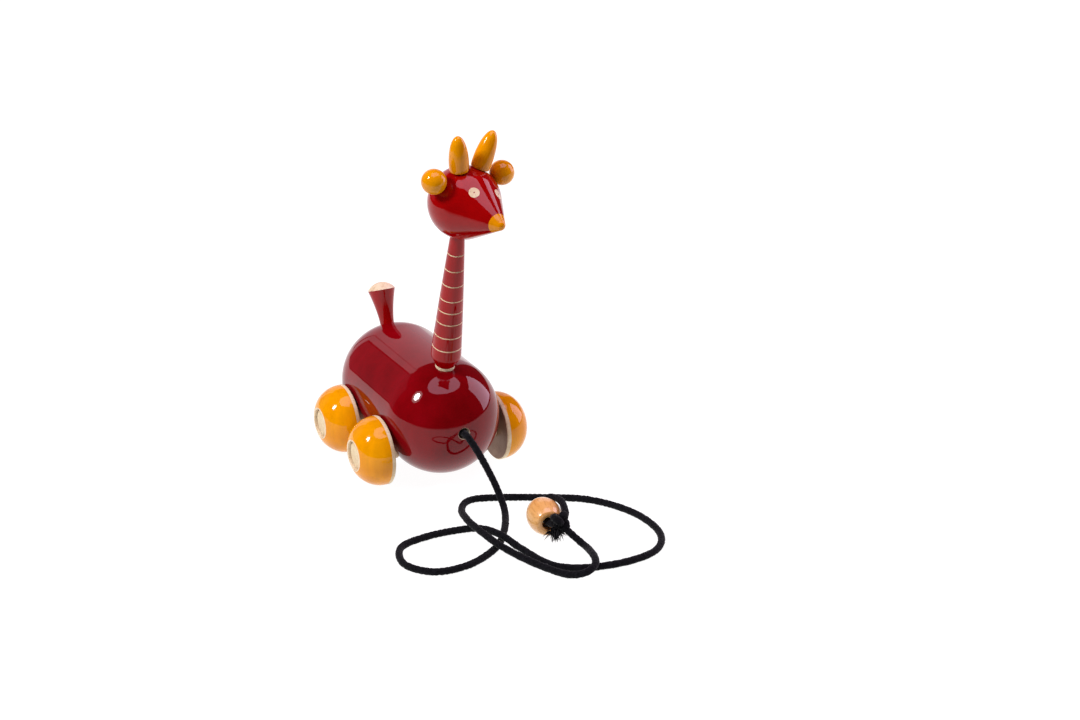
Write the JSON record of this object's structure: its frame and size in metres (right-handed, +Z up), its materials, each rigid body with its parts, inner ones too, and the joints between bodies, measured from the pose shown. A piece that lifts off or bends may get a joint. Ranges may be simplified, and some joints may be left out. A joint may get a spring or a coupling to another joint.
{
  "type": "pull-along animal toy",
  "caption": "Turned wooden giraffe on free-running wheels, with a cotton pull cord that ends in a wooden bead.",
  "frame": {"origin": "on the floor, at the middle of the toy's bounding box without its cord", "axes": "+Z up, the nose points to -Y, +X is the giraffe's left"},
  "size_m": [0.1448, 0.25, 0.215],
  "materials": {
    "crimson_lacquer": "high-gloss lacquer",
    "amber_lacquer": "high-gloss lacquer",
    "bare_wood": "waxed, bare",
    "bead_wood": "clear gloss lacquer",
    "black_cotton": "twisted cotton"
  },
  "bodies": {
    "root": {"body": "crimson_lacquer", "neck": "crimson_lacquer", "head": "crimson_lacquer", "horn_left": "amber_lacquer", "horn_right": "amber_lacquer", "horn_peg_left": "bare_wood", "horn_peg_right": "bare_wood", "ear_left": "amber_lacquer", "ear_right": "amber_lacquer", "ear_peg_left": "bare_wood", "ear_peg_right": "bare_wood", "eye_left": "bare_wood", "eye_right": "bare_wood", "tail": "crimson_lacquer", "axle_front": "bare_wood", "axle_rear": "bare_wood", "spacer_front_left": "bare_wood", "spacer_front_right": "bare_wood", "spacer_rear_left": "bare_wood", "spacer_rear_right": "bare_wood", "hub_cap_front_left": "bare_wood", "hub_cap_front_right": "bare_wood", "hub_cap_rear_left": "bare_wood", "hub_cap_rear_right": "bare_wood", "cord_anchor": "black_cotton", "pull_cord": "black_cotton", "bead_loop": "black_cotton", "bead_knot": "black_cotton", "bead": "bead_wood"},
    "wheel_front_left": {"wheel_front_left": "amber_lacquer"},
    "wheel_front_right": {"wheel_front_right": "amber_lacquer"},
    "wheel_rear_left": {"wheel_rear_left": "amber_lacquer"},
    "wheel_rear_right": {"wheel_rear_right": "amber_lacquer"}
  },
  "joints": [
    {"name": "front_left_spin", "type": "hinge", "parent": "root", "child": "wheel_front_left", "pos_m": [0.044, -0.00905, 0.02025], "axis": [1, 0, 0], "continuous": true},
    {"name": "front_right_spin", "type": "hinge", "parent": "root", "child": "wheel_front_right", "pos_m": [-0.044, -0.00905, 0.02025], "axis": [1, 0, 0], "continuous": true},
    {"name": "rear_left_spin", "type": "hinge", "parent": "root", "child": "wheel_rear_left", "pos_m": [0.044, 0.04145, 0.02025], "axis": [1, 0, 0], "continuous": true},
    {"name": "rear_right_spin", "type": "hinge", "parent": "root", "child": "wheel_rear_right", "pos_m": [-0.044, 0.04145, 0.02025], "axis": [1, 0, 0], "continuous": true}
  ]
}
